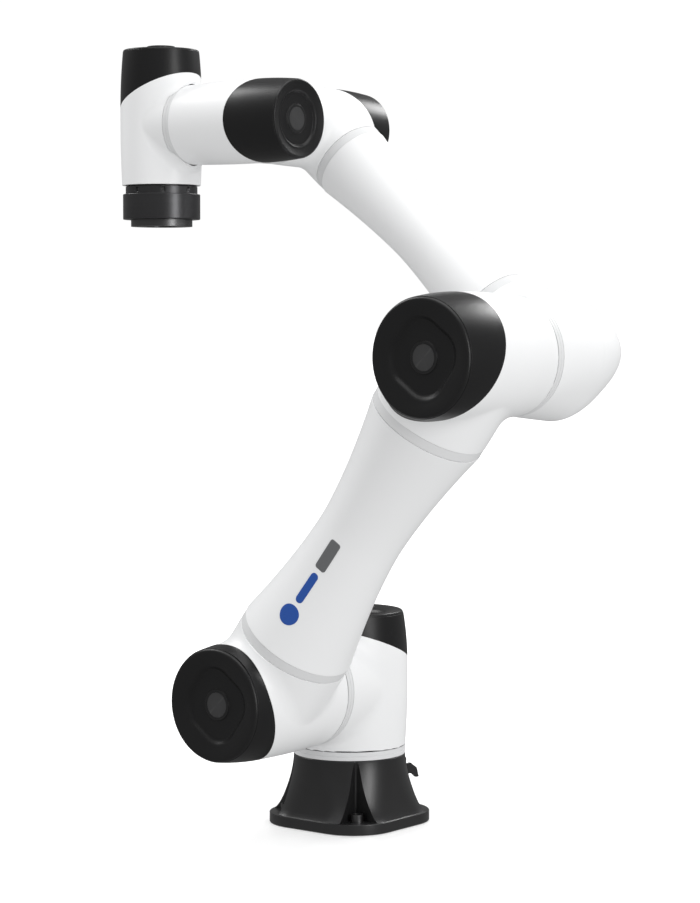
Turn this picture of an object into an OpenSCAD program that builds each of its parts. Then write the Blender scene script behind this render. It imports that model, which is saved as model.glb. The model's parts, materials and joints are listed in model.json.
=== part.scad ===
// Six-axis collaborative robot arm, standing on its base with the tool flange facing down.
// Origin: centre of the base's bottom face. +Z up. The first joint turns about Z, the next
// three turn about axes along Y, the fifth about X and the sixth about a vertical axis.

/* [Reach] */
// Height of the shoulder axis above the mounting face
shoulder_h = 147; // [140:1:160]
// Distance from the shoulder axis to the elbow axis
upper_arm_l = 427; // [400:1:460]
// Distance from the elbow axis to the first wrist axis
forearm_l = 357; // [340:1:390]
// Distance from the base's centre plane to the planes of the upper arm and of the wrist
side_offset = 141; // [139:1:144]
// Distance from the first wrist axis to the last wrist axis
wrist_reach = 116; // [115:1:119]

/* [Stored pose] */
// Lean of the upper arm from the vertical, in degrees
upper_arm_lean = 36.3; // [30:0.1:42]
// Lean of the forearm from the vertical, back over the base, in degrees
forearm_lean = 49.5; // [44:0.1:54]

/* [Arm joints] */
// Radius of a shoulder or elbow barrel at its middle
big_r = 61; // [60:0.5:63]
// Radius of a shoulder or elbow barrel at its sealing ring
big_ring_r = 58.5; // [57.5:0.5:59]
// Radius of a shoulder or elbow cap at its face
big_face_r = 56; // [54:0.5:57]
// Distance from a barrel's middle to its cap face
big_face_h = 76; // [75:1:78]
// Distance from a barrel's middle to the joint's turning face
big_turn_h = 75; // [74:1:76]

/* [Wrist joints] */
// Radius of a wrist barrel at its middle
small_r = 41.8; // [41:0.1:43]
// Radius of a wrist barrel at its sealing ring
small_ring_r = 40.3; // [39.5:0.1:41]
// Radius of a wrist cap at its face
small_face_r = 38.9; // [38:0.1:39.5]
// Distance from a wrist barrel's middle to its cap face
small_face_h = 68; // [66:1:70]
// Distance from a wrist barrel's middle to the joint's turning face
small_turn_h = 78.4; // [78:0.1:79]

/* [Tubes] */
// Narrowest radius of the upper arm
upper_waist_r = 42.4; // [40:0.1:46]
// Narrowest radius of the forearm
forearm_waist_r = 31.3; // [30:0.1:34]
// Wall of the housings, caps and tubes
wall = 4.5; // [3.5:0.5:6]

/* [Base] */
// Side of the base plate
plate_w = 146; // [142:1:152]
// Radius of the base plate's corners
plate_corner_r = 46; // [40:1:50]
// Thickness of the base plate
plate_t = 11; // [9:0.5:13]
// Circle through the four mounting holes
mount_pcd = 132; // [128:1:136]
// Bore of a mounting sleeve, for an M8 screw
mount_hole_d = 9; // [8.4:0.1:9.4]

/* [Tool flange] */
// Outer diameter of the tool flange's spigot
spigot_d = 63; // [62:0.5:64]
// Circle through the four tool screws
tool_pcd = 50; // [49:0.5:51]
// Core diameter of the tool screw threads
tool_hole_d = 5; // [4.8:0.1:5.2]
// Diameter of the pilot bore
pilot_d = 31.5; // [30:0.5:32]
// Distance from the wrist axis to the tool face
tool_drop = 102; // [101:0.5:104]

/* [Hidden] */
$fn = 96;
gap = 0.4;
eps = 1;

white = [0.93, 0.93, 0.93];
black = [0.13, 0.13, 0.13];
grey = [0.76, 0.77, 0.77];
metal = [0.62, 0.64, 0.66];
blue = [0.11, 0.29, 0.62];

// Places of the joints
elbow_x = upper_arm_l * sin(upper_arm_lean);
elbow_z = shoulder_h + upper_arm_l * cos(upper_arm_lean);
wrist_x = elbow_x - forearm_l * sin(forearm_lean);
wrist_z = elbow_z + forearm_l * cos(forearm_lean);
tool_x = wrist_x - wrist_reach;
forearm_offset = 25;

// Arm joints: the ring band, the inside and the slanted split between housing and cap
big_ring_t = 9;
big_barrel_h = big_turn_h - big_ring_t;
big_cavity_r = big_ring_r - wall;
big_neck_r = 59;
big_neck_l = 70;
big_split_tilt = 21;
big_split_h = 40.5;
band_t = 10;

// Wrist joints
small_ring_t = 8;
small_barrel_h = small_turn_h - small_ring_t;
small_cavity_r = small_ring_r - wall;
small_split_tilt = 25.6;
small_split_depth = 44.2;
tall_face_h = 78;
tall_barrel_h = 60;

// Forearm ends
elbow_r = 62.5;
elbow_neck_r = 43;
elbow_neck_l = 62;
elbow_dome_h = 62;
forearm_neck_r = 41;
forearm_neck_l = 49;
forearm_band_t = 9.5;

// Base
base_top_h = shoulder_h - big_turn_h;
base_flare_r = 73;
base_cavity_r = 44;
base_roof_t = 9;
notch_r = 52;
sleeve_r = 6.5;
sleeve_h = 19;
panel_w = 50;
panel_h = 48;
panel_z = 40;
panel_y = 56;
panel_t = 2.5;
lever_y = 77;
connector_x = 1;
signal_x = -19.2;
lever_z = 48;

// ---------------------------------------------------------------- places

module at_shoulder() translate([0, 0, shoulder_h]) rotate([0, 0, -90]) children();

module at_upper_arm_root()
    translate([0, -side_offset, shoulder_h]) rotate([90, 0, 0])
        rotate([0, 0, 90 - upper_arm_lean]) children();

module at_upper_arm_end()
    translate([elbow_x, -side_offset, elbow_z]) rotate([90, 0, 0])
        rotate([0, 0, 270 - upper_arm_lean]) children();

module at_elbow()
    translate([elbow_x, -forearm_offset, elbow_z]) rotate([90, 0, 0])
        rotate([0, 0, 90 + forearm_lean]) children();

module at_forearm_end()
    translate([wrist_x, -forearm_offset, wrist_z]) rotate([-90, 0, 0])
        rotate([0, 0, 90 - forearm_lean]) children();

module at_wrist_1()
    translate([wrist_x, -side_offset, wrist_z]) rotate([0, 90, 0])
        rotate([0, 0, 90]) children();

module at_wrist_2() translate([tool_x, -side_offset, wrist_z]) children();

// Along the upper arm, from the shoulder axis towards the elbow axis
module along_upper_arm()
    translate([0, -side_offset, shoulder_h]) rotate([0, upper_arm_lean, 0]) children();

// Along the forearm, from the elbow axis towards the wrist axis
module along_forearm()
    translate([elbow_x, -forearm_offset, elbow_z]) rotate([0, -forearm_lean, 0]) children();

// ---------------------------------------------------------------- shared shapes

module revolve(points) rotate_extrude() polygon(points);

module pipe(r_out, r_in, z0, z1)
    translate([0, 0, z0]) difference() {
        cylinder(r = r_out, h = z1 - z0);
        translate([0, 0, -eps]) cylinder(r = r_in, h = z1 - z0 + 2 * eps);
    }

// Radius of a barrel at height z: widest near its middle, drawn in at both ends
function barrel_r(z, z0, z1, r0, r, r1) =
    z < 0 ? r - (r - r0) * pow(z / z0, 2)
          : r - (r - r1) * pow(max(0, z - 0.25 * z1) / (0.75 * z1), 2);

// Solid barrel from z0 to z1 with a rounded rim at its top
module barrel(z0, z1, r0, r, r1, rim = 3) {
    steps = 10;
    side = [for (i = [0 : steps]) let (z = z0 + (z1 - rim - z0) * i / steps)
        [barrel_r(z, z0, z1, r0, r, r1), z]];
    arc = [for (a = [30 : 30 : 90]) [r1 - rim + rim * cos(a), z1 - rim + rim * sin(a)]];
    revolve(concat([[0, z0]], side, arc, [[0, z1]]));
}

module big_barrel() barrel(-big_barrel_h, big_face_h, big_ring_r, big_r, big_face_r);

module small_barrel(z0 = -small_barrel_h, z1 = small_face_h)
    barrel(z0, z1, small_ring_r, small_r, small_face_r, 2.5);

// Everything above the slanted plane that parts a cap from its housing
module above_split(height, tilt)
    translate([0, 0, height]) rotate([0, -tilt, 0])
        translate([-200, -200, 0]) cube([400, 400, 200]);

module big_above() above_split(big_split_h, big_split_tilt);

module small_above(face_h = small_face_h)
    above_split(face_h - small_split_depth, small_split_tilt);

// Neck along +X that carries a tube or meets the next joint
module neck(r, length) rotate([0, 90, 0]) cylinder(r = r, h = length);

module big_housing(neck_r, neck_l, closed = false) difference() {
    union() {
        big_barrel();
        neck(neck_r, neck_l);
    }
    translate([0, 0, -big_barrel_h - eps])
        cylinder(r = big_cavity_r, h = big_barrel_h + big_face_h - wall + eps);
    neck(neck_r - wall, closed ? neck_l - wall : neck_l + eps);
    big_above();
}

module big_cap() difference() {
    intersection() {
        big_barrel();
        big_above();
    }
    translate([0, 0, -big_barrel_h]) cylinder(r = big_cavity_r - 4, h = 2 * big_barrel_h + 20);
}

// Lid that closes a big cap: a plug with a dished, rounded-square recess
module big_lid() {
    recess_w = 70;
    recess_r = 22;
    difference() {
        translate([0, 0, big_face_h - 9]) cylinder(r = big_cavity_r - 4, h = 9);
        translate([0, 0, big_face_h - 4]) linear_extrude(4 + eps)
            rounded_square(recess_w, recess_r);
        translate([0, 0, big_face_h - 6]) linear_extrude(4)
            rounded_square(recess_w - 16, recess_r - 6);
    }
    translate([0, 0, big_face_h - 6 - eps]) cylinder(r = 11, h = 1.6 + eps);
}

module small_housing(neck_r, neck_l, z0, face_h, closed = false) difference() {
    union() {
        small_barrel(z0, face_h);
        neck(neck_r, neck_l);
    }
    translate([0, 0, z0 - eps]) cylinder(r = small_cavity_r, h = face_h - z0 - wall + eps);
    neck(neck_r - wall, closed ? neck_l - wall : neck_l + eps);
    small_above(face_h);
    ring_seat(neck_l);
}

// Seat cut into a wrist barrel for the sealing ring of the joint before it
module ring_seat(neck_l) translate([neck_l, 0, 0]) neck(small_ring_r + 0.8, 60);

module small_cap(z0 = -small_barrel_h, face_h = small_face_h, seat = 100) difference() {
    intersection() {
        small_barrel(z0, face_h);
        small_above(face_h);
    }
    translate([0, 0, z0]) cylinder(r = small_cavity_r - 3, h = face_h - z0 + eps);
    ring_seat(seat);
}

// Lid that closes a wrist cap: a plug with a round recess and a low centre boss
module small_lid(face_h = small_face_h, recess = 2.5, boss_r = 10, boss_h = 1) {
    difference() {
        translate([0, 0, face_h - 7]) cylinder(r = small_cavity_r - 3, h = 7);
        translate([0, 0, face_h - recess]) cylinder(r = 28, h = recess + eps);
    }
    translate([0, 0, face_h - recess - eps]) cylinder(r = boss_r, h = boss_h + eps);
}

module rounded_square(w, r) {
    c = w / 2 - r;
    square([w, 2 * c], center = true);
    square([2 * c, w], center = true);
    for (x = [-c, c], y = [-c, c]) translate([x, y]) circle(r = r);
}

// Output hub: the flange that the joint turns, seen only with the housing off
module hub(turn_h, r) translate([0, 0, -turn_h]) difference() {
    union() {
        cylinder(r = r, h = 12);
        cylinder(r = r - 8, h = 22);
    }
    translate([0, 0, -eps]) cylinder(r = r / 4, h = 24);
    for (i = [0 : 7]) rotate([0, 0, 45 * i]) translate([r - 4, 0, 7]) cylinder(r = 2, h = 6);
}

// Strain-wave gear unit with its bolt ring and the hollow shaft's passage
module gear(turn_h, r, length) translate([0, 0, 22 + gap - turn_h]) difference() {
    union() {
        cylinder(r = r, h = length - 8);
        cylinder(r = r - 6, h = length);
    }
    translate([0, 0, -eps]) cylinder(r = r / 4, h = length + 2 * eps);
}

// Frameless motor with the brake behind it, round a hollow shaft
module motor(z, r, length) translate([0, 0, z]) difference() {
    union() {
        cylinder(r = r, h = length);
        translate([0, 0, length - eps]) cylinder(r = r - 14, h = 10 + eps);
    }
    translate([0, 0, -eps]) cylinder(r = r / 4, h = length + 10 + 2 * eps);
}

module big_hub() hub(big_turn_h, big_cavity_r - 8);
module big_gear() gear(big_turn_h, big_cavity_r, 36);
module big_motor() motor(22 + gap - big_turn_h + 36, big_cavity_r, 26);
module small_hub() hub(small_turn_h, small_cavity_r - 5);
module small_gear() gear(small_turn_h, small_cavity_r, 30);
module small_motor() motor(22 + gap - small_turn_h + 30, small_cavity_r, 24);

// Sealing ring between a barrel and the face that it turns on
module joint_ring(r, turn_h, t, r_in)
    pipe(r, r_in, gap - turn_h, t - turn_h);

module big_ring() joint_ring(big_ring_r, big_turn_h, big_ring_t, big_cavity_r - 7);
module small_ring() joint_ring(small_ring_r, small_turn_h, small_ring_t, small_cavity_r - 4);

// Radius of a waisted tube at distance s, between s0 (radius r0) and s1 (radius r1)
function waist_r(s, s0, s1, r0, r, r1) =
    let (mid = (s0 + s1) / 2, u = abs(s - mid) / (mid - s0))
    r + ((s < mid ? r0 : r1) - r) * pow(u, 1.65);

module waisted_solid(s0, s1, r0, r, r1, grow = 0, past = 0) {
    steps = 14;
    side = [for (i = [0 : steps]) let (s = s0 + (s1 - s0) * i / steps)
        [waist_r(s, s0, s1, r0, r, r1) + grow, s]];
    start = [[0, s0 - past], [side[0][0], s0 - past]];
    end = [[side[steps][0], s1 + past], [0, s1 + past]];
    revolve(past > 0 ? concat(start, side, end) : concat([[0, s0]], side, [[0, s1]]));
}

module waisted_tube(s0, s1, r0, r, r1) difference() {
    waisted_solid(s0, s1, r0, r, r1);
    waisted_solid(s0, s1, r0, r, r1, -wall, eps);
}

// ---------------------------------------------------------------- base

module plate_outline() rounded_square(plate_w, plate_corner_r);

// Corner notch that makes room for a mounting screw
module corner_notch() translate([0, 0, plate_t]) linear_extrude(base_top_h)
    polygon([[notch_r, -2], [notch_r, 2], [notch_r + 60, 45], [notch_r + 60, -45]]);

module base_casting() color(black) difference() {
    union() {
        linear_extrude(plate_t) plate_outline();
        revolve([[0, plate_t - eps], [base_flare_r, plate_t - eps], [base_flare_r, 17],
            [69.3, 25], [65.3, 36], [62, 49], [59.8, 60], [big_ring_r, base_top_h],
            [0, base_top_h]]);
    }
    translate([0, 0, -eps]) cylinder(r = base_cavity_r, h = base_top_h - base_roof_t + eps);
    for (a = [45 : 90 : 315]) rotate([0, 0, a]) {
        corner_notch();
        translate([mount_pcd / 2, 0, -eps]) cylinder(r = sleeve_r, h = 60);
    }
    translate([-panel_w / 2, panel_y, panel_z - panel_h / 2]) cube([panel_w, 40, panel_h]);
    translate([-15, 30, panel_z - 18]) cube([30, 40, 36]);
    cylinder(r = 10, h = 100);
}

module mounting_sleeves() color(metal)
    for (a = [45 : 90 : 315]) rotate([0, 0, a]) translate([mount_pcd / 2, 0, 0])
        pipe(sleeve_r, mount_hole_d / 2, 0, sleeve_h);

module rear_panel() color(black) difference() {
    translate([-panel_w / 2, panel_y, panel_z - panel_h / 2]) cube([panel_w, panel_t, panel_h]);
    for (x = [-22, 22], z = [-21, 21])
        translate([x, panel_y - eps, panel_z + z]) rotate([-90, 0, 0]) cylinder(r = 1.6, h = 5);
}

module panel_screws() color(metal)
    for (x = [-22, 22], z = [-21, 21]) translate([x, panel_y, panel_z + z]) rotate([-90, 0, 0]) {
        cylinder(r = 1.6, h = panel_t);
        translate([0, 0, panel_t]) cylinder(r = 2.6, h = 1.6);
    }

// Rectangular power and signal connector that stands out of the rear panel
module power_connector() color(black) translate([connector_x, 0, 0]) {
    face_y = panel_y + panel_t;
    difference() {
        union() {
            translate([-12, face_y, panel_z - 19]) cube([24, 4, 38]);
            translate([-10, face_y + 3, panel_z - 16]) cube([20, 23, 32]);
        }
        translate([-7.5, face_y + 14, panel_z - 13]) cube([15, 20, 24]);
    }
    for (s = [-1, 1]) translate([s * 9, lever_y, lever_z - 8]) rotate([0, s * 90, 0])
        cylinder(r = 2.5, h = 5);
}

// Locking lever: two side arms on the connector's pivots and a thumb bar across their ends.
// The bar is far enough out to swing over the connector's upper edge.
module connector_lever() color(black) translate([connector_x, 0, 0]) {
    arm_t = 2.6;
    arm_gap = 21.6;
    bar_y = lever_y + 18.4;
    pivot_h = lever_z - 8;
    outline = [[lever_y - 4, pivot_h - 4], [lever_y + 4, pivot_h - 4], [lever_y + 10, pivot_h + 1],
        [lever_y + 21, pivot_h - 7], [lever_y + 25.5, pivot_h - 7], [lever_y + 22, pivot_h + 3],
        [lever_y + 11, pivot_h + 10], [lever_y - 2, pivot_h + 9]];
    for (x = [-arm_gap / 2 - arm_t, arm_gap / 2]) translate([x, 0, 0]) rotate([90, 0, 90]) difference() {
        linear_extrude(arm_t) polygon(outline);
        translate([lever_y, pivot_h, -eps]) cylinder(r = 2.55, h = arm_t + 2 * eps);
    }
    translate([-arm_gap / 2, 0, 0]) rotate([90, 0, 90]) linear_extrude(arm_gap)
        polygon([[bar_y, pivot_h + 1], [lever_y + 21, pivot_h - 4], [lever_y + 24, pivot_h - 4],
            [lever_y + 21.5, pivot_h + 2.5], [bar_y, pivot_h + 5]]);
}

module signal_connector() color(metal)
    translate([signal_x, panel_y + panel_t, panel_z]) rotate([-90, 0, 0]) difference() {
        union() {
            cylinder(r = 5, h = 3);
            cylinder(r = 4.2, h = 13);
        }
        translate([0, 0, 5]) cylinder(r = 3, h = 10);
    }

// ---------------------------------------------------------------- shoulder

module j1_hub() color(metal) at_shoulder() big_hub();
module j1_gear() color(metal) at_shoulder() big_gear();
module j1_motor() color(metal) at_shoulder() big_motor();
module j1_ring() color(grey) at_shoulder() big_ring();

module shoulder_housing() color(white) at_shoulder()
    big_housing(big_ring_r, side_offset - big_turn_h, true);
module shoulder_cap() color(black) at_shoulder() big_cap();
module shoulder_lid() color(black) at_shoulder() big_lid();

// ---------------------------------------------------------------- upper arm

module j2_hub() color(metal) at_upper_arm_root() big_hub();
module j2_gear() color(metal) at_upper_arm_root() big_gear();
module j2_motor() color(metal) at_upper_arm_root() big_motor();
module j2_ring() color(grey) at_upper_arm_root() big_ring();

module upper_arm_root_housing() color(white) at_upper_arm_root()
    big_housing(big_neck_r, big_neck_l);
module upper_arm_root_cap() color(black) at_upper_arm_root() big_cap();
module upper_arm_root_lid() color(black) at_upper_arm_root() big_lid();

tube_start = big_neck_l + band_t;
tube_end = upper_arm_l - tube_start;

module upper_arm_lower_band() color(grey) along_upper_arm()
    pipe(big_neck_r, big_neck_r - wall, big_neck_l, tube_start);
module upper_arm_upper_band() color(grey) along_upper_arm()
    pipe(big_neck_r, big_neck_r - wall, tube_end, tube_end + band_t);
module upper_arm_tube() color(white) along_upper_arm()
    waisted_tube(tube_start, tube_end, big_neck_r, upper_waist_r, big_neck_r);

// Thin plain marker that lies on the upper arm's outer side, from s0 to s1 along it
module marker(s0, s1, w) along_upper_arm() intersection() {
    difference() {
        waisted_solid(tube_start, tube_end, big_neck_r, upper_waist_r, big_neck_r, 0.3);
        waisted_solid(tube_start, tube_end, big_neck_r, upper_waist_r, big_neck_r, 0, eps);
    }
    translate([0, 0, (s0 + s1) / 2]) rotate([90, 0, 0]) linear_extrude(80) {
        square([w - 6, s1 - s0], center = true);
        square([w, s1 - s0 - 6], center = true);
        for (x = [-1, 1], y = [-1, 1])
            translate([x * (w / 2 - 3), y * ((s1 - s0) / 2 - 3)]) circle(r = 3);
    }
}

module blue_marker() color(blue) marker(118, 172, 13);
module grey_marker() color(grey) marker(178, 212, 12);

module upper_arm_end_housing() color(white) at_upper_arm_end()
    big_housing(big_neck_r, big_neck_l);
module upper_arm_end_cap() color(black) at_upper_arm_end() big_cap();
module upper_arm_end_lid() color(black) at_upper_arm_end() big_lid();

// ---------------------------------------------------------------- forearm

// The elbow drive turns the forearm, so its barrel side is on the upper arm
module j3_hub() color(metal) at_upper_arm_end() big_hub();
module j3_gear() color(metal) at_upper_arm_end() big_gear();
module j3_motor() color(metal) at_upper_arm_end() big_motor();
module j3_ring() color(grey) at_upper_arm_end() big_ring();

elbow_face_h = side_offset - big_turn_h - forearm_offset;

// Profile of the elbow: turning face at the top, dome at the bottom
module elbow_solid(shrink = 0) {
    dome = [for (a = [0 : 10 : 80])
        [(elbow_r - shrink) * pow(cos(a), 0.75), -(elbow_dome_h - shrink) * sin(a)]];
    revolve(concat([[0, elbow_face_h - shrink], [big_ring_r - shrink, elbow_face_h - shrink],
        [elbow_r - shrink - 1, elbow_face_h / 2]], dome, [[0, -(elbow_dome_h - shrink)]]));
}

// Keeps only what lies behind the elbow's turning face
module behind_face(inset = 0)
    translate([-200, -200, -200]) cube([400, 400, 200 + elbow_face_h - inset]);

module elbow_housing() color(white) at_elbow() difference() {
    union() {
        elbow_solid();
        intersection() {
            neck(elbow_neck_r, elbow_neck_l);
            behind_face();
        }
    }
    elbow_solid(wall);
    intersection() {
        neck(elbow_neck_r - wall, elbow_neck_l + eps);
        behind_face(wall);
    }
}

forearm_start = elbow_neck_l + forearm_band_t;
forearm_end = forearm_l - forearm_neck_l - forearm_band_t;

module forearm_lower_band() color(grey) along_forearm()
    pipe(elbow_neck_r, elbow_neck_r - wall, elbow_neck_l, forearm_start);
module forearm_tube() color(white) along_forearm()
    waisted_tube(forearm_start, forearm_end, elbow_neck_r, forearm_waist_r, forearm_neck_r);
module forearm_upper_band() color(grey) along_forearm()
    pipe(forearm_neck_r, forearm_neck_r - wall, forearm_end, forearm_end + forearm_band_t);

module forearm_end_housing() color(white) at_forearm_end()
    small_housing(forearm_neck_r, forearm_neck_l, -small_barrel_h, small_face_h);
module forearm_end_cap() color(black) at_forearm_end() small_cap();
module forearm_end_lid() color(black) at_forearm_end() small_lid();

// ---------------------------------------------------------------- wrist

module j4_hub() color(metal) at_forearm_end() small_hub();
module j4_gear() color(metal) at_forearm_end() small_gear();
module j4_motor() color(metal) at_forearm_end() small_motor();
module j4_ring() color(grey) at_forearm_end() small_ring();

wrist_1_neck_l = side_offset - forearm_offset - small_turn_h;
wrist_2_neck_l = wrist_reach - small_turn_h;

module wrist_1_housing() color(white) at_wrist_1()
    small_housing(small_ring_r, wrist_1_neck_l, -small_barrel_h, small_face_h, true);
module wrist_1_cap() color(black) at_wrist_1() small_cap(seat = wrist_1_neck_l);
module wrist_1_lid() color(black) at_wrist_1() small_lid();

module j5_hub() color(metal) at_wrist_1() small_hub();
module j5_gear() color(metal) at_wrist_1() small_gear();
module j5_motor() color(metal) at_wrist_1() small_motor();
module j5_ring() color(grey) at_wrist_1() small_ring();

module wrist_2_housing() color(white) at_wrist_2()
    small_housing(small_ring_r, wrist_2_neck_l, -tall_barrel_h, tall_face_h, true);
module wrist_2_cap() color(black) at_wrist_2()
    small_cap(-tall_barrel_h, tall_face_h, wrist_2_neck_l);
module wrist_2_lid() color(black) at_wrist_2()
    small_lid(tall_face_h, boss_r = 13.5, boss_h = 6.5);

module j6_hub() color(metal) at_wrist_2() hub(tall_barrel_h, small_cavity_r - 5);
module j6_gear() color(metal) at_wrist_2() gear(tall_barrel_h, small_cavity_r, 30);
module j6_motor() color(metal) at_wrist_2()
    motor(22 + gap - tall_barrel_h + 30, small_cavity_r, 24);

// ---------------------------------------------------------------- tool flange

flange_neck_r = 36.8;
flange_r = 39.6;
flange_top = 69;
spigot_t = 7;
side_hole_h = tall_barrel_h + 4.7;

module tool_flange() color(black) at_wrist_2() difference() {
    union() {
        translate([0, 0, -flange_top]) cylinder(r = flange_neck_r, h = flange_top - tall_barrel_h - gap);
        translate([0, 0, -flange_top]) cylinder(r = flange_neck_r - 8, h = flange_top - tall_barrel_h);
        translate([0, 0, spigot_t - tool_drop])
            cylinder(r = flange_r, h = tool_drop - spigot_t - flange_top);
    }
    translate([0, 0, -tool_drop]) cylinder(r = pilot_d / 2, h = 24);
    for (a = [0 : 45 : 315]) rotate([0, 0, a]) translate([flange_neck_r - 6, 0, -side_hole_h])
        rotate([0, 90, 0]) cylinder(r = 1.6, h = 10);
}

// Hardened spigot that takes the tool: pilot bore, threaded holes and a dowel hole
module tool_spigot() color(metal) at_wrist_2() translate([0, 0, -tool_drop]) difference() {
    cylinder(r = spigot_d / 2, h = spigot_t);
    translate([0, 0, -eps]) cylinder(r = pilot_d / 2, h = spigot_t + 2 * eps);
    for (a = [45 : 90 : 315]) rotate([0, 0, a])
        translate([tool_pcd / 2, 0, -eps]) cylinder(r = tool_hole_d / 2, h = spigot_t + 2 * eps);
    translate([0, -tool_pcd / 2, -eps]) cylinder(r = 3, h = spigot_t + 2 * eps);
}

// Grub screws round the flange's neck, one in each side hole
module flange_screws() color(metal) at_wrist_2()
    for (a = [0 : 45 : 315]) rotate([0, 0, a]) translate([flange_neck_r - 6, 0, -side_hole_h])
        rotate([0, 90, 0]) cylinder(r = 1.6, h = 4.5);

base_casting();
mounting_sleeves();
rear_panel();
panel_screws();
power_connector();
connector_lever();
signal_connector();
j1_hub();
j1_gear();
j1_motor();
j1_ring();
shoulder_housing();
shoulder_cap();
shoulder_lid();
j2_hub();
j2_gear();
j2_motor();
j2_ring();
upper_arm_root_housing();
upper_arm_root_cap();
upper_arm_root_lid();
upper_arm_lower_band();
upper_arm_tube();
upper_arm_upper_band();
upper_arm_end_housing();
upper_arm_end_cap();
upper_arm_end_lid();
blue_marker();
grey_marker();
j3_hub();
j3_gear();
j3_motor();
j3_ring();
elbow_housing();
forearm_lower_band();
forearm_tube();
forearm_upper_band();
forearm_end_housing();
forearm_end_cap();
forearm_end_lid();
j4_hub();
j4_gear();
j4_motor();
j4_ring();
wrist_1_housing();
wrist_1_cap();
wrist_1_lid();
j5_hub();
j5_gear();
j5_motor();
j5_ring();
wrist_2_housing();
wrist_2_cap();
wrist_2_lid();
j6_hub();
j6_gear();
j6_motor();
tool_flange();
tool_spigot();
flange_screws();
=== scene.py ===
"""Looks of the six-axis robot arm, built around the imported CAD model.

Shapes are worked out in millimetres in the own frame of each joint module, where +z points to the
module's cap and +x along its neck, and are then placed in the row frame in metres.
"""

import json
import math

import bmesh
import bpy
import numpy as np
from mathutils import Matrix, Vector


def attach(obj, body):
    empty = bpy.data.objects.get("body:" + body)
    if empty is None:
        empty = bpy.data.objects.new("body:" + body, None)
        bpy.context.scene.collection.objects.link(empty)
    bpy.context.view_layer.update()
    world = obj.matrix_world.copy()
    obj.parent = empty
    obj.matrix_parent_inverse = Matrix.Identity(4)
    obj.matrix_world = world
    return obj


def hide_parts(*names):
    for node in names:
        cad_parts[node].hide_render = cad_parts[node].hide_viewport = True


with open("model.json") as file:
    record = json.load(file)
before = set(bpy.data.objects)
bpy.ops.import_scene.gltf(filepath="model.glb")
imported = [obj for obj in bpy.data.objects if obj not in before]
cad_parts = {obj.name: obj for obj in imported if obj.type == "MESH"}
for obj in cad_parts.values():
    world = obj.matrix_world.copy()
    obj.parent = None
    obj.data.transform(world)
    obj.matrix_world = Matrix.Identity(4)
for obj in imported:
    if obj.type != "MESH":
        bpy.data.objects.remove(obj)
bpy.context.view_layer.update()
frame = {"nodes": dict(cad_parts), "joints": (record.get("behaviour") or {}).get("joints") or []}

MM = 0.001

# ---------------------------------------------------------------- places, all from packed joints

JOINT = {j["name"]: Vector(j["pos_m"]) for j in frame["joints"]}
SHOULDER = Vector((0, 0, JOINT["j2"].z))
UPPER_ROOT = JOINT["j2"]
UPPER_END = Vector((JOINT["j3"].x, JOINT["j2"].y, JOINT["j3"].z))
ELBOW = JOINT["j3"]
FOREARM_END = Vector((JOINT["j4"].x, JOINT["j3"].y, JOINT["j4"].z))
WRIST_1 = JOINT["j4"]
WRIST_2 = JOINT["j5"]
UPPER_DIRECTION = (UPPER_END - UPPER_ROOT).normalized()
FOREARM_DIRECTION = (FOREARM_END - ELBOW).normalized()
X, Y, Z = Vector((1, 0, 0)), Vector((0, 1, 0)), Vector((0, 0, 1))


def placed(centre, up, along):
    """The frame with its z along up and its x along along."""
    side = up.cross(along)
    return Matrix.Translation(centre) @ Matrix((along, side, up)).transposed().to_4x4()


AT_SHOULDER = placed(SHOULDER, Z, -Y)
AT_UPPER_ROOT = placed(UPPER_ROOT, -Y, UPPER_DIRECTION)
AT_UPPER_END = placed(UPPER_END, -Y, -UPPER_DIRECTION)
AT_ELBOW = placed(ELBOW, -Y, FOREARM_DIRECTION)
AT_FOREARM_END = placed(FOREARM_END, Y, -FOREARM_DIRECTION)
AT_WRIST_1 = placed(WRIST_1, X, Y)
AT_WRIST_2 = placed(WRIST_2, Z, X)
ALONG_UPPER_ARM = placed(UPPER_ROOT, UPPER_DIRECTION, -Y)
ALONG_FOREARM = placed(ELBOW, FOREARM_DIRECTION, -Y)
AT_BASE = Matrix.Identity(4)

# ---------------------------------------------------------------- sizes in mm, as in the CAD model

# ring, mid and face are a barrel's radii at its turning end, middle and cap end; low and top are
# the heights of its ends; split and tilt place the slanting cut between housing and cap; blend is
# the fillet to the neck; cell and wall are the mesh size and the wall thickness; drop is how far
# the cap ends below the lid; boss, sunk and rise shape the lid's middle.
BIG = dict(ring=58.5, mid=61.0, face=56.0, low=-66.0, top=76.0, split=40.5, tilt=21.0,
           blend=24.0, cell=3.0, wall=4.0, drop=3.3, boss=15.5, sunk=7.5, rise=1.4)
SMALL = dict(ring=40.3, mid=41.8, face=38.9, low=-70.4, top=68.0, split=23.8, tilt=25.6,
             blend=14.0, cell=2.3, wall=3.5, drop=1.9, boss=14.5, sunk=4.6, rise=1.3)
TALL = dict(SMALL, low=-60.0, top=78.0, split=33.8, rise=8.5)
# Half the seam between neighbouring pieces, the rounding of their lips, and of inner edges
SEAM = 0.02
LIP = 0.35
INNER_LIP = 0.3

# ---------------------------------------------------------------- mesh helpers


def area_normals(points, faces):
    """Vertex normals weighted by face area, so that wide flat faces stay flat."""
    normals = np.zeros_like(points)
    for size in {len(f) for f in faces}:
        index = np.array([f for f in faces if len(f) == size])
        corner = points[index]
        total = np.zeros((len(index), 3))
        for k in range(1, size - 1):
            total += np.cross(corner[:, k] - corner[:, 0], corner[:, k + 1] - corner[:, 0])
        for k in range(size):
            np.add.at(normals, index[:, k], total)
    return unit(normals)


def unit(v):
    """Vectors at length one."""
    return v / np.maximum(np.linalg.norm(v, axis=-1, keepdims=True), 1e-9)


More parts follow.
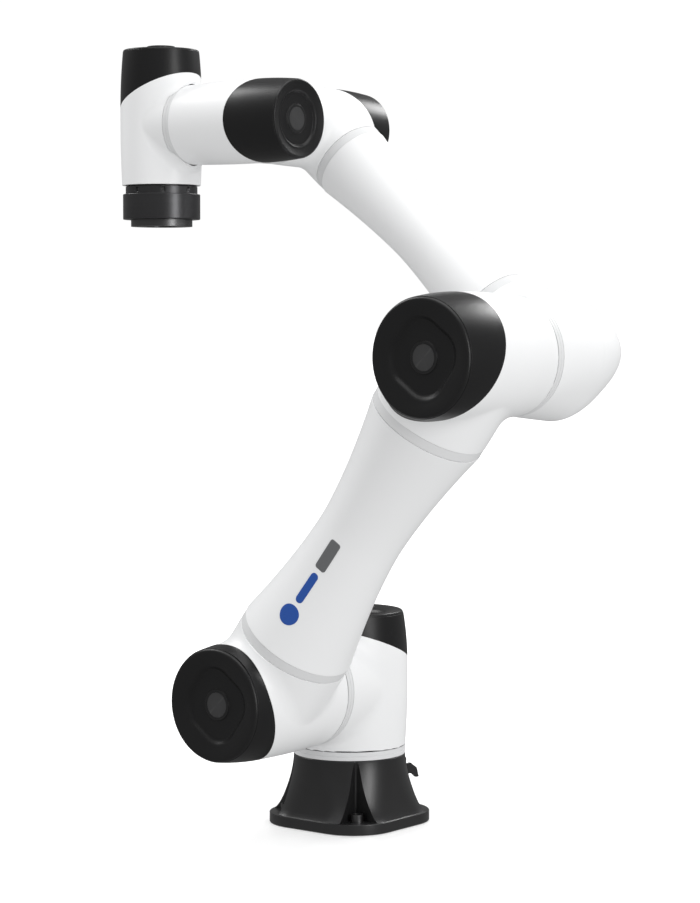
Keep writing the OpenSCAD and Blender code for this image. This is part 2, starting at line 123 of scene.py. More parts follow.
def mesh_object(name, points, faces, place, normals=None):
    """An object with its vertices in place in the row frame, shaded with the given normals."""
    rotation = np.array(place.to_3x3())
    offset = np.array(place.translation)
    mesh = bpy.data.meshes.new(name)
    mesh.from_pydata((points * MM @ rotation.T + offset).tolist(), [], [list(f) for f in faces])
    mesh.shade_smooth()
    if normals is None:
        normals = area_normals(points, faces)
    mesh.normals_split_custom_set_from_vertices((normals @ rotation.T).tolist())
    made = bpy.data.objects.new(name, mesh)
    bpy.context.scene.collection.objects.link(made)
    return made


def loft(rings, closed=False, first_pole=False, last_pole=False):
    """Points and quads of a skin over rings of equal length. A pole is a closing middle point."""
    count = len(rings[0])
    points = np.concatenate(rings)
    faces = []
    pairs = list(zip(range(len(rings)), range(1, len(rings))))
    if closed:
        pairs.append((len(rings) - 1, 0))
    for a, b in pairs:
        for k in range(count):
            n = (k + 1) % count
            faces.append((a * count + k, a * count + n, b * count + n, b * count + k))
    for wanted, ring, turned in ((first_pole, 0, True), (last_pole, len(rings) - 1, False)):
        if wanted:
            points = np.vstack([points, rings[ring].mean(0)])
            for k in range(count):
                edge = (ring * count + k, ring * count + (k + 1) % count)
                faces.append((edge[::-1] if turned else edge) + (len(points) - 1,))
    return points, faces


def rounded(corners, steps=4):
    """A closed outline (a, b, radius) with every corner rounded by its radius."""
    out = []
    for k, (a, b, radius) in enumerate(corners):
        here = np.array((a, b))
        before = np.array(corners[k - 1][:2]) - here
        after = np.array(corners[(k + 1) % len(corners)][:2]) - here
        if radius <= 0:
            out.append(here)
            continue
        start, end = here + unit(before) * radius, here + unit(after) * radius
        for t in np.linspace(0, 1, steps + 1):
            out.append((1 - t) ** 2 * start + 2 * t * (1 - t) * here + t * t * end)
    return np.array(out)


def circle(radius, z, count=96):
    """Points of a circle round the z axis."""
    turn = np.linspace(0, 2 * math.pi, count, endpoint=False)
    return np.stack([radius * np.cos(turn), radius * np.sin(turn), np.full(count, z)], 1)


def revolved(name, corners, place, count=96, steps=4):
    """A closed ring-shaped solid from an outline (radius, z, corner radius) that turns about z."""
    outline = rounded(corners, steps)
    points, faces = loft([circle(r, z, count) for r, z in outline], closed=True)
    return mesh_object(name, points, faces, place)


def carve(target, parts, place=AT_BASE):
    """Cuts closed shapes out of a mesh."""
    for points, faces in parts:
        tool = mesh_object("cutter", points, faces, place)
        cutting = target.modifiers.new("cut", "BOOLEAN")
        cutting.operation, cutting.solver, cutting.object = "DIFFERENCE", "EXACT", tool
        graph = bpy.context.evaluated_depsgraph_get()
        result = bpy.data.meshes.new_from_object(target.evaluated_get(graph))
        target.modifiers.clear()
        old, target.data = target.data, result
        bpy.data.meshes.remove(old)
        bpy.data.meshes.remove(tool.data)
    return target


# ---------------------------------------------------------------- housings as smooth fields


def barrel_field(size):
    """Distance to a barrel that is widest in the middle, and its slope."""
    low, top = size["low"], size["top"]

    def radius(z):
        """The barrel bulges towards its middle and narrows to its ring and its face."""
        down = size["mid"] - (size["mid"] - size["ring"]) * (z / low) ** 2
        rise = np.maximum(0, z - 0.25 * top) / (0.75 * top)
        up = size["mid"] - (size["mid"] - size["face"]) * rise ** 2
        return np.where(z < 0, down, up)

    def field(p):
        flat = np.linalg.norm(p[:, :2], axis=1)
        slope = radius(p[:, 2] + 0.5) - radius(p[:, 2] - 0.5)
        gradient = np.stack([p[:, 0] / flat, p[:, 1] / flat, -slope], 1)
        return flat - radius(p[:, 2]), unit(gradient)

    return field


def neck_field(radius):
    """Distance to a round neck along +x, which starts as a ball round the middle."""

    def field(p):
        arm = p.copy()
        arm[:, 0] = np.minimum(arm[:, 0], 0)
        length = np.maximum(np.linalg.norm(arm, axis=1), 1e-6)
        return length - radius, arm / length[:, None]

    return field


def flattened(field, top, blend):
    """The field, cut off softly above z = top."""

    def cut_off(p):
        value, slope = field(p)
        over = p[:, 2] - top
        overlap = np.maximum(blend - np.abs(value - over), 0)
        level = np.where((over > value)[:, None], (0.0, 0.0, 1.0), slope)
        return np.maximum(value, over) + overlap ** 2 / (4 * blend), level

    return cut_off


def joined(first, second, blend, end, side=1):
    """Both fields with a fillet where they cross, which narrows to nothing towards z = end."""

    def field(p):
        (a, slope_a), (b, slope_b) = first(p), second(p)
        crossing = 1 - np.clip(np.sum(slope_a * slope_b, 1), 0, 1)
        near_end = np.clip(side * (p[:, 2] - end) / blend, 0, 1)
        k = blend * crossing * near_end + 1e-6
        overlap = np.maximum(k - np.abs(a - b), 0)
        return np.minimum(a, b) - overlap ** 2 / (4 * k)

    return field


def gradient_of(field, p, step=0.05):
    """Slope of a field at points p, by central differences."""
    out = np.empty_like(p)
    for k in range(3):
        shift = np.zeros(3)
        shift[k] = step
        out[:, k] = (field(p + shift) - field(p - shift)) / (2 * step)
    return out


def settled(field, p, plane=None, rounds=4):
    """Points moved onto field = 0, and along their own plane if one is given."""
    for _ in range(rounds):
        slope = gradient_of(field, p)
        if plane is not None:
            slope -= plane * np.sum(slope * plane, 1)[:, None]
        p = p - slope * (field(p) / np.maximum(np.sum(slope ** 2, 1), 1e-6))[:, None]
    return p


def field_skin(field, low, high, cell):
    """Quad mesh of field = 0: one point for each cell that it crosses, relaxed over the surface."""
    count = np.ceil((np.array(high) - low) / cell).astype(int) + 1
    axes = [low[k] + cell * np.arange(count[k]) for k in range(3)]
    grid = np.stack(np.meshgrid(*axes, indexing="ij"), -1)
    inside = (field(grid.reshape(-1, 3)) < 0).reshape(count)
    total = sum(inside[a:count[0] - 1 + a, b:count[1] - 1 + b, c:count[2] - 1 + c].astype(int)
                for a in (0, 1) for b in (0, 1) for c in (0, 1))
    crossed = (total > 0) & (total < 8)
    number = np.full(crossed.shape, -1)
    number[crossed] = np.arange(crossed.sum())
    points = np.array(low) + cell * (np.argwhere(crossed) + 0.5)
    faces = []
    for axis in range(3):
        u, v = (axis + 1) % 3, (axis + 2) % 3
        first = np.take(inside, range(count[axis] - 1), axis)
        second = np.take(inside, range(1, count[axis]), axis)
        for spot in np.argwhere(first != second):
            if spot[u] in (0, count[u] - 1) or spot[v] in (0, count[v] - 1):
                continue
            around = []
            for du, dv in ((-1, -1), (0, -1), (0, 0), (-1, 0)):
                cell_at = spot.copy()
                cell_at[u] += du
                cell_at[v] += dv
                around.append(number[tuple(cell_at)])
            if not first[tuple(spot)]:
                around.reverse()
            faces.append(around)
    faces = np.array(faces)
    edges = np.concatenate([faces[:, [k, (k + 1) % 4]] for k in range(4)])
    for _ in range(6):
        spread = np.zeros_like(points)
        weight = np.zeros(len(points))
        np.add.at(spread, edges[:, 0], points[edges[:, 1]])
        np.add.at(weight, edges[:, 0], 1)
        points = settled(field, spread / np.maximum(weight, 1)[:, None], rounds=2)
    return settled(field, points), faces


def cut(points, faces, planes):
    """The part of a skin behind every plane (point, normal). Also each open edge's plane normal."""
    bm = bmesh.new()
    verts = [bm.verts.new(p) for p in points]
    for face in faces:
        bm.faces.new([verts[k] for k in face])
    for origin, normal in planes:
        bmesh.ops.bisect_plane(bm, geom=bm.verts[:] + bm.edges[:] + bm.faces[:], dist=0.05,
                               plane_co=origin, plane_no=normal, clear_outer=True)
        on_plane = [v for v in bm.verts
                    if abs((v.co - Vector(origin)).dot(Vector(normal))) < 0.06]
        bmesh.ops.remove_doubles(bm, verts=on_plane, dist=0.8)
    loose = [v for v in bm.verts if not v.link_faces]
    bmesh.ops.delete(bm, geom=loose, context="VERTS")
    bm.verts.index_update()
    kept = np.array([v.co for v in bm.verts])
    polygons = [[v.index for v in f.verts] for f in bm.faces]
    rim = np.zeros_like(kept)
    for v in bm.verts:
        if v.is_boundary:
            here = [Vector(n).normalized() for o, n in planes
                    if abs((v.co - Vector(o)).dot(Vector(n).normalized())) < 0.2]
            if here:
                rim[v.index] = here[0]
    open_edges = []
    for f in bm.faces:
        for loop in f.loops:
            if loop.edge.is_boundary:
                open_edges.append((loop.vert.index, loop.link_loop_next.vert.index))
    bm.free()
    return kept, polygons, rim, open_edges


def shell(name, field, low, high, cell, planes, wall, place):
    """A closed shell of a field between planes, with rounded lips where the planes cut it."""
    inset = [(tuple(np.array(o) - np.array(n) * LIP), n) for o, n in planes]
    points, faces = field_skin(field, low, high, cell)
    points, faces, rim, open_edges = cut(points, faces, inset)
    edge = np.unique(np.array(open_edges))
    points[edge] = settled(field, points[edge], rim[edge])
    normals = unit(gradient_of(field, points))
    count = len(points)
    order = {v: k for k, v in enumerate(edge)}
    out_of = rim[edge]
    flat = unit(normals[edge] - out_of * np.sum(normals[edge] * out_of, 1)[:, None])
    base = points[edge]
    stages = []
    for turn in (30, 60, 90):
        c, s = math.cos(math.radians(turn)), math.sin(math.radians(turn))
        stages.append((base - flat * LIP * (1 - c) + out_of * LIP * s, flat * c + out_of * s))
    stages.append((base - flat * (wall - INNER_LIP) + out_of * LIP, out_of))
    stages.append((base - flat * wall + out_of * (LIP - INNER_LIP), -flat))
    inner = points - normals * wall
    inner[edge] = base - flat * wall
    rows = [edge]
    all_points, all_normals = [points], [normals]
    for ring_points, ring_normals in stages:
        rows.append(np.arange(count, count + len(edge)))
        all_points.append(ring_points)
        all_normals.append(ring_normals)
        count += len(edge)
    all_points.append(inner)
    all_normals.append(-normals)
    rows.append(count + edge)
    polygons = [tuple(f) for f in faces]
    for before, after in zip(rows, rows[1:]):
        for a, b in open_edges:
            i, j = order[a], order[b]
            polygons.append((before[j], before[i], after[i], after[j]))
    polygons += [tuple(count + k for k in reversed(f)) for f in faces]
    return mesh_object(name, np.concatenate(all_points), polygons, place,
                       np.concatenate(all_normals))


def split_plane(size, side):
    """The slanting plane between housing and cap; side is 1 for the housing, -1 for the cap."""
    tilt = math.radians(size["tilt"])
    normal = np.array((-math.sin(tilt), 0, math.cos(tilt))) * side
    origin = np.array((0, 0, size["split"])) - normal * SEAM
    return tuple(origin), tuple(normal)


def t_field(size, neck_radius):
    """A joint module's outside: a barrel with a neck."""
    return joined(barrel_field(size), neck_field(neck_radius), size["blend"], size["low"])


def housing(name, size, neck_radius, neck_length, place, seat=None):
    """The white part of a joint module, with a seat cut in its side where the neck is short."""
    field = t_field(size, neck_radius)
    neck_end = neck_length - SEAM if seat is None else size["mid"] + 2
    planes = [split_plane(size, 1),
              ((0, 0, size["low"] + SEAM), (0, 0, -1)),
              ((neck_end, 0, 0), (1, 0, 0))]
    reach = size["mid"] + 4
    low = (-reach, -reach, size["low"] - 4)
    high = (max(neck_length + 5, reach + 12), reach, size["top"] + 4)
    made = shell(name, field, low, high, size["cell"], planes, size["wall"], place)
    if seat is not None:
        cut_seat(made, field, seat, neck_length - SEAM, place)
    return made


SEAT_DEPTH = 40.0


def cut_seat(made, field, radius, start, place):
    """Cuts the round seat of the next joint's ring, and shades what is left by the field."""
    ring = circle(radius, 0, 128)[:, [2, 0, 1]]
    points, faces = loft([ring + (start, 0, 0), ring + (start + SEAT_DEPTH, 0, 0)],
                         first_pole=True, last_pole=True)
    carve(made, [(points, faces)], place)
    mesh = made.data
    count = len(mesh.vertices)
    spots = np.empty(count * 3)
    mesh.vertices.foreach_get("co", spots)
    inverse = np.array(place.inverted())
    local = (spots.reshape(-1, 3) @ inverse[:3, :3].T + inverse[:3, 3]) / MM
    slope = unit(gradient_of(field, local))
    on_skin = np.abs(field(local)) < 0.03
    rotation = np.array(place.to_3x3())
    slope = slope @ rotation.T
    normals = []
    for face in mesh.polygons:
        own = np.array(face.normal)
        for v in face.vertices:
            smooth = on_skin[v] and own @ slope[v] > 0.9
            normals.append(slope[v] if smooth else own)
    mesh.shade_smooth()
    mesh.normals_split_custom_set(np.array(normals).tolist())


def cap(name, size, neck_radius, place):
    """The black part of a joint module, open where its lid sits."""
    field = t_field(size, neck_radius)
    planes = [split_plane(size, -1), ((0, 0, size["top"] - size["drop"]), (0, 0, 1))]
    reach = size["mid"] + 4
    low = (-reach, -reach, -10)
    high = (reach + 12, reach, size["top"] + 4)
    return shell(name, field, low, high, size["cell"], planes, size["wall"], place)


# ---------------------------------------------------------------- lids


def square_radius(turn, half, corner):
    """Polar radius of a square with rounded corners."""
    turn = np.abs((turn + math.pi / 4) % (math.pi / 2) - math.pi / 4)
    c, s = np.cos(turn), np.sin(turn)
    flat = half / c
    centre = half - corner
    along = centre * (c + s)
    reach = along + np.sqrt(np.maximum(along ** 2 - 2 * centre ** 2 + corner ** 2, 0))
    return np.where(flat * s <= centre, flat, reach)


def lid(name, place, rings, count=128):
    """A dished lid from rings (half width, squareness, z), from the rim's underside inwards."""
    turn = np.linspace(0, 2 * math.pi, count, endpoint=False)
    made = []
    for half, square, z in rings:
        corner = half * (1 - 0.38 * square)
        radius = square_radius(turn, half, corner)
        made.append(np.stack([radius * np.cos(turn), radius * np.sin(turn),
                              np.full(count, z)], 1))
    points, faces = loft(made, first_pole=True, last_pole=True)
    return mesh_object(name, points, faces, place)


def arc_rings(radius, z, corner, square=0.0, steps=5):
    """Rings of a rounded edge that turns from a side wall into a face."""
    out = []
    for t in np.linspace(0, math.pi / 2, steps):
        out.append((radius - corner * (1 - math.cos(t)), square, z - corner * (1 - math.sin(t))))
    return out


def step_down(half, square, z, run, depth, steps=6):
    """Rings of a soft S-shaped step that leads inwards and down."""
    out = []
    for t in np.linspace(0, 1, steps):
        ease = t * t * (3 - 2 * t)
        out.append((half - run * t, square, z - depth * ease))
    return out


def boss_rings(radius, z, rise):
    """A plain round boss with a soft edge."""
    return [(radius + 1.2, 0, z), (radius + 0.3, 0, z + 0.15), (radius, 0, z + 0.5),
            (radius - 0.1, 0, z + rise - 0.4), (radius - 0.5, 0, z + rise),
            (radius - 2.6, 0, z + rise), (radius - 2.9, 0, z + rise - 0.3),
            (1.0, 0, z + rise - 0.3)]


def badge(name, place, size):
    """The plain grey disc that lies in a lid's boss."""
    z = size["top"] - size["sunk"] + size["rise"]
    edge = size["boss"] - 3.1
    return revolved(name, [(0.2, z - 0.4, 0), (edge, z - 0.4, 0), (edge, z - 0.05, 0.15),
                           (0.2, z - 0.05, 0)], place)


def big_lid(name, place, size):
    """A lid with a recess in the shape of a rounded square."""
    edge, top = size["face"] + 0.1, size["top"]
    rings = [(48, 0, top - 9), (edge - 0.6, 0, top - 3.6), (edge - 0.2, 0, top - 3.4)]
    rings += arc_rings(edge, top, 3.2)
    rings += [(48.5, 0.1, top - 0.4), (43, 0.35, top - 1.3), (39.5, 0.6, top - 2.1),
              (37.4, 0.72, top - 2.5)]
    rings += step_down(36.6, 0.72, top - 2.7, 6.5, 4.6)
    rings += [(24, 0.6, top - 7.4), (19, 0.4, top - 7.5)]
    rings += boss_rings(size["boss"], top - size["sunk"], size["rise"])
    return lid(name, place, rings)


def small_lid(name, place, size):
    """A lid with a round recess and a fine ridge round it."""
    edge, top = size["face"], size["top"]
    rings = [(33, 0, top - 8), (edge - 0.6, 0, top - 2.2), (edge - 0.2, 0, top - 2.0)]
    rings += arc_rings(edge, top, 1.7)
    rings += [(36.4, 0, top - 0.1), (35.8, 0, top - 0.5), (31.0, 0, top - 1.9),
              (29.2, 0, top - 2.2), (28.6, 0, top - 1.9), (28.0, 0, top - 2.1)]
    rings += step_down(27.8, 0, top - 2.4, 2.4, 2.2)
    rings += boss_rings(size["boss"], top - size["sunk"], size["rise"])
    return lid(name, place, rings)


# ---------------------------------------------------------------- materials


class Nodes:
    """Short hand for building a node tree."""

    def __init__(self, name):
        self.material = bpy.data.materials.new(name)
        self.material.use_nodes = True
        self.tree = self.material.node_tree
        self.shader = next(n for n in self.tree.nodes if n.type == "BSDF_PRINCIPLED")

    def add(self, kind, values=(), **settings):
        node = self.tree.nodes.new(kind)
        for key, value in settings.items():
            setattr(node, key, value)
        for key, value in dict(values).items():
            if isinstance(value, bpy.types.NodeSocket):
                self.tree.links.new(value, node.inputs[key])
            else:
                node.inputs[key].default_value = value
        return node

    def link(self, output, socket):
        self.tree.links.new(output, self.shader.inputs[socket])


def finish_material(name, colour, worn_and_lit_colour, roughness, spread, grain, depth, metallic=0.0,
                    specular=0.5, variation=0.05, wear_and_highlight=0.35, brushed=None):
    """A finish with uneven tone, paler edges, uneven gloss and a fine bump of its own grain size.

    The edge colour argument gives sharp edges a paler colour, partly as wear and partly as a
    painted highlight, and the edge amount says how far they take it. Gloss varies by spread round
    roughness.
    Grain and depth size the bump, and brushed stretches all of it along an axis.
    """
    n = Nodes(name)
    place = n.add("ShaderNodeTexCoord").outputs["Object"]
    if brushed:
        place = n.add("ShaderNodeMapping", {"Vector": place, "Scale": brushed}).outputs["Vector"]
    cloud = n.add("ShaderNodeTexNoise", {"Vector": place, "Scale": 14.0, "Detail": 4.0})
    fine = n.add("ShaderNodeTexNoise", {"Vector": place, "Scale": grain, "Detail": 3.0,
                                        "Roughness": 0.6})
    dark = tuple(c * (1 - variation) for c in colour)
    light = tuple(min(1, c * (1 + variation)) for c in colour)
    tone = n.add("ShaderNodeMix", data_type="RGBA")
    n.tree.links.new(cloud.outputs["Fac"], tone.inputs["Factor"])
    tone.inputs["A"].default_value = (*dark, 1)
    tone.inputs["B"].default_value = (*light, 1)
    # Painted highlight mixed with wear: sharp convex edges, found by pointiness, turn to the edge
    # colour.
    point = n.add("ShaderNodeNewGeometry").outputs["Pointiness"]
    edge = n.add("ShaderNodeMapRange", {"Value": point, "From Min": 0.52, "From Max": 0.62,
                                        "To Min": 0.0, "To Max": wear_and_highlight})
    worn_and_lit_edge = n.add("ShaderNodeMix", data_type="RGBA")
    n.tree.links.new(edge.outputs["Result"], worn_and_lit_edge.inputs["Factor"])
    n.tree.links.new(tone.outputs["Result"], worn_and_lit_edge.inputs["A"])
    worn_and_lit_edge.inputs["B"].default_value = (*worn_and_lit_colour, 1)
    n.link(worn_and_lit_edge.outputs["Result"], "Base Color")
    gloss = n.add("ShaderNodeMapRange", {"Value": fine.outputs["Fac"], "From Min": 0.3,
                                         "From Max": 0.7, "To Min": roughness - spread,
                                         "To Max": roughness + spread})
    n.link(gloss.outputs["Result"], "Roughness")
    bump = n.add("ShaderNodeBump", {"Height": fine.outputs["Fac"], "Distance": depth,
                                    "Strength": 0.6})
    n.link(bump.outputs["Normal"], "Normal")
    n.shader.inputs["Metallic"].default_value = metallic
    n.shader.inputs["Specular IOR Level"].default_value = specular
    return n.material


# Each finish's second colour is for its sharp edges: paler, partly wear and partly a painted
# highlight.
MATERIAL = {
    "painted_white": finish_material("satin_white_paint", (0.83, 0.835, 0.84), (0.9, 0.9, 0.9),
                                     0.38, 0.05, 1400, 0.00004, variation=0.012, wear_and_highlight=0.2),
    "black_plastic": finish_material("grained_black_plastic", (0.009, 0.009, 0.0095),
                                     (0.045, 0.045, 0.045), 0.36, 0.05, 2600, 0.00005,
                                     specular=0.42, variation=0.15),
    "black_casting": finish_material("painted_black_casting", (0.011, 0.011, 0.0115),
                                     (0.06, 0.06, 0.062), 0.34, 0.05, 1100, 0.00008,
                                     specular=0.85, variation=0.18),
    "black_anodised": finish_material("black_anodised_aluminium", (0.085, 0.085, 0.088),
                                      (0.3, 0.3, 0.3), 0.33, 0.05, 1800, 0.00003, metallic=0.85,
                                      variation=0.1, brushed=(1, 1, 14)),
    "ring_grey": finish_material("light_grey_seal", (0.68, 0.685, 0.69), (0.78, 0.78, 0.78),
                                 0.5, 0.05, 1600, 0.00006, variation=0.04),
    "marker_blue": finish_material("blue_print", (0.01, 0.075, 0.36), (0.1, 0.2, 0.5),
                                   0.4, 0.05, 2200, 0.00003, variation=0.08),
    "marker_grey": finish_material("grey_print", (0.13, 0.133, 0.137), (0.3, 0.3, 0.3),
                                   0.42, 0.05, 2200, 0.00003, variation=0.06),
    "steel": finish_material("blackened_steel", (0.09, 0.09, 0.092), (0.3, 0.3, 0.3),
                             0.36, 0.06, 1500, 0.00004, metallic=1.0, variation=0.12),
    "bare_aluminium": finish_material("bare_aluminium", (0.62, 0.625, 0.63), (0.8, 0.8, 0.8),
                                      0.34, 0.06, 1300, 0.00004, metallic=1.0, variation=0.05,
                                      brushed=(1, 1, 8)),
}


BADGE_FINISH = finish_material("dark_grey_plastic", (0.036, 0.036, 0.037), (0.08, 0.08, 0.08),
                               0.4, 0.05, 2400, 0.00003, variation=0.1)


def dressed(piece, body, slot, *nodes, finish=None):
    """The piece rides on a body, stands for CAD nodes and takes a slot's finish or its own."""
    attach(piece, body)
    if nodes:
        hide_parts(*nodes)
    piece.data.materials.clear()
    piece.data.materials.append(finish or MATERIAL[slot])
    return piece


# ---------------------------------------------------------------- arm modules

BIG_NECK, BIG_NECK_LENGTH = 59.0, 70.0
SHOULDER_NECK, SHOULDER_NECK_LENGTH = 58.5, 66.0
FOREARM_NECK, FOREARM_NECK_LENGTH = 41.0, 49.0
WRIST_NECK, WRIST_NECK_LENGTH = 40.3, 37.6

MODULES = (
    ("shoulder", "shoulder", BIG, SHOULDER_NECK, SHOULDER_NECK_LENGTH, AT_SHOULDER),
    ("upper_arm_root", "upper_arm", BIG, BIG_NECK, BIG_NECK_LENGTH, AT_UPPER_ROOT),
    ("upper_arm_end", "upper_arm", BIG, BIG_NECK, BIG_NECK_LENGTH, AT_UPPER_END),
    ("forearm_end", "forearm", SMALL, FOREARM_NECK, FOREARM_NECK_LENGTH, AT_FOREARM_END),
    ("wrist_1", "wrist_1", SMALL, WRIST_NECK, WRIST_NECK_LENGTH, AT_WRIST_1),
    ("wrist_2", "wrist_2", TALL, WRIST_NECK, WRIST_NECK_LENGTH, AT_WRIST_2),
)
SEAT, SEATED = 40.35, ("wrist_1", "wrist_2")
for title, body, size, neck_radius, neck_length, place in MODULES:
    seat = SEAT if title in SEATED else None
    made = housing(title + "_housing_look", size, neck_radius, neck_length, place, seat)
    dressed(made, body, "painted_white", title + "_housing")
    made = cap(title + "_cap_look", size, neck_radius, place)
    dressed(made, body, "black_plastic", title + "_cap")
    made = (big_lid if size is BIG else small_lid)(title + "_lid_look", place, size)
    dressed(made, body, "black_plastic", title + "_lid")
    made = badge(title + "_badge", place, size)
    dressed(made, body, "black_plastic", finish=BADGE_FINISH)

# ---------------------------------------------------------------- elbow


# The turning face and the edge of the dome, measured away from the upper arm
ELBOW_FACE, ELBOW_EDGE = -41.0, 19.6
# Radius at that edge, how much squarer than round it is there, and the scale of the field
ELBOW_RADIUS, ELBOW_SQUARE, ELBOW_SCALE = 60.2, 0.57, 60
# Height of the dome, how it leans in x and y, its lowest height and its crest's power
ELBOW_DOME, ELBOW_LEAN, ELBOW_LOWEST, ELBOW_CREST = 42.35, (-23.5, -28.8), 4, 2.25
# The neck: radius, end and fillet, and the flat on it that clears the turning face
ELBOW_NECK, ELBOW_NECK_END, ELBOW_BLEND, ELBOW_FLAT = 43.0, 62.0, 30.0, 2.4


def elbow_drum(p):
    """Distance to a drum that turns squarer away from its round face, with a leaning domed end."""
    away = -p[:, 2]
    t = np.clip((away - ELBOW_FACE) / (ELBOW_EDGE - ELBOW_FACE), 0, 1)
    power = 2 + ELBOW_SQUARE * t
    wide = BIG["ring"] + (ELBOW_RADIUS - BIG["ring"]) * t
    flat = (np.abs(p[:, 0]) ** power + np.abs(p[:, 1]) ** power) ** (1 / power)
    lean = (ELBOW_LEAN[0] * p[:, 0] + ELBOW_LEAN[1] * p[:, 1]) / ELBOW_RADIUS
    reach = np.maximum(ELBOW_DOME + lean, ELBOW_LOWEST)
    end = np.maximum(away - ELBOW_EDGE, 0) / reach
    level = ((flat / wide) ** ELBOW_CREST + end ** ELBOW_CREST) ** (1 / ELBOW_CREST)
    return (level - 1) * ELBOW_SCALE


def elbow_field():
    """The drum and the forearm's neck along +x."""

    def drum(p):
        return elbow_drum(p), unit(gradient_of(elbow_drum, p))

    neck = flattened(neck_field(ELBOW_NECK), -ELBOW_FACE - ELBOW_FLAT, 1.6)
    return joined(drum, neck, ELBOW_BLEND, -ELBOW_FACE, -1)


made = shell("elbow_look", elbow_field(), (-72, -72, -90), (76, 72, 47), 3.0,
             [((0, 0, -ELBOW_FACE - SEAM), (0, 0, 1)),
              ((ELBOW_NECK_END - SEAM, 0, 0), (1, 0, 0))], 4.0, AT_ELBOW)
dressed(made, "forearm", "painted_white", "elbow_housing")

# ---------------------------------------------------------------- rings, bands and tubes


def seal_ring(name, radius, thick, z, place, inner):
    """A joint's light ring with a fine groove round it."""
    top, low = z + thick - SEAM, z + SEAM
    mid = (top + low) / 2
    outer = radius - 0.1
    return revolved(name, [(inner, low, 0), (outer, low, 0.25), (outer, mid - 0.4, 0.2),
                           (outer - 0.5, mid, 0.2), (outer, mid + 0.4, 0.2),
                           (outer, top, 0.25), (inner, top, 0)], place)


# Radius, thickness, lower side and inner radius
BIG_RING, SMALL_RING = (58.5, 8.6, -74.6, 40.0), (40.3, 7.6, -78.0, 26.0)
RINGS = (("j1_ring", "shoulder", BIG_RING, AT_SHOULDER),
         ("j2_ring", "upper_arm", BIG_RING, AT_UPPER_ROOT),
         ("j3_ring", "upper_arm", BIG_RING, AT_UPPER_END),
         ("j4_ring", "forearm", SMALL_RING, AT_FOREARM_END),
         ("j5_ring", "wrist_1", SMALL_RING, AT_WRIST_1))
for title, body, (radius, thick, z, inner), place in RINGS:
    made = seal_ring(title + "_look", radius, thick, z, place, inner)
    dressed(made, body, "ring_grey", title)


BAND_SEAM, BAND_STEP, BAND_DEPTH = 0.15, 0.35, 12


def band(name, low, high, radius, place):
    """A light band, a little below the surface of the tube that it ends."""
    low, high = low + BAND_SEAM, high - BAND_SEAM
    outer, inner = radius - BAND_STEP, radius - BAND_DEPTH
    return revolved(name, [(inner, low, 0), (outer, low, 0.7), (outer, high, 0.7),
                           (inner, high, 0)], place)


BANDS = (("upper_arm_lower_band", "upper_arm", 70, 80, 59.0, ALONG_UPPER_ARM),
         ("upper_arm_upper_band", "upper_arm", 347, 357, 59.0, ALONG_UPPER_ARM),
         ("forearm_lower_band", "forearm", 62, 71.5, 43.0, ALONG_FOREARM),
         ("forearm_upper_band", "forearm", 298.5, 308, 41.0, ALONG_FOREARM))
for title, body, low, high, radius, place in BANDS:
    made = band(title + "_look", low, high, radius, place)
    dressed(made, body, "ring_grey", title)


def waist(s, low, high, first, middle, last):
    """Radius of a tube that is slim in the middle."""
    centre, half = (low + high) / 2, (high - low) / 2
    t = np.abs(s - centre) / half
    ends = np.where(s < centre, first, last)
    return middle + (ends - middle) * t ** 1.65


def tube(name, low, high, first, middle, last, wall, place, steps=48):
    """A waisted hollow tube with rounded lips."""
    shape = (low, high, first, middle, last)
    inside = low + SEAM + LIP, high - SEAM - LIP
    along = np.linspace(inside[0], inside[1], steps)
    skin = [(float(waist(s, *shape)), s) for s in along]
    turns = np.radians((30, 60, 90))
    end_lip = [(skin[-1][0] - LIP * (1 - math.cos(t)), inside[1] + LIP * math.sin(t))
               for t in turns]
    start_lip = [(skin[0][0] - LIP * (1 - math.cos(t)), inside[0] - LIP * math.sin(t))
                 for t in turns[::-1]]
    hollow = [(r - wall, s) for r, s in skin[::-6]]
    hollow[0] = (skin[-1][0] - wall, inside[1] + LIP)
    hollow[-1] = (skin[0][0] - wall, inside[0] - LIP)
    outline = start_lip + skin + end_lip + hollow
    points, faces = loft([circle(r, s) for r, s in outline], closed=True)
    return mesh_object(name, points, faces, place)


# Start, end, and the radii at the start, in the middle and at the end
UPPER_TUBE = (80.0, 347.0, 59.0, 42.4, 59.0)
FOREARM_TUBE = (71.5, 298.5, 43.0, 31.3, 41.0)
made = tube("upper_arm_tube_look", *UPPER_TUBE, 4.5, ALONG_UPPER_ARM)
dressed(made, "upper_arm", "painted_white", "upper_arm_tube")
made = tube("forearm_tube_look", *FOREARM_TUBE, 4.0, ALONG_FOREARM)
dressed(made, "forearm", "painted_white", "forearm_tube")

# ---------------------------------------------------------------- markers on the upper arm


def outline_points(length, width, corner, count=64):
    """A rounded rectangle round the origin, as points at even turns of its corners."""
    quarter = count // 4
    out = []
    for q, (sx, sy) in enumerate(((1, 1), (-1, 1), (-1, -1), (1, -1))):
        for t in np.linspace(0, math.pi / 2, quarter):
            a = t + q * math.pi / 2
            out.append((sx * (length / 2 - corner) + corner * math.cos(a),
                        sy * (width / 2 - corner) + corner * math.sin(a)))
    return np.array(out)


MARKER_TURN = math.radians(7.5)


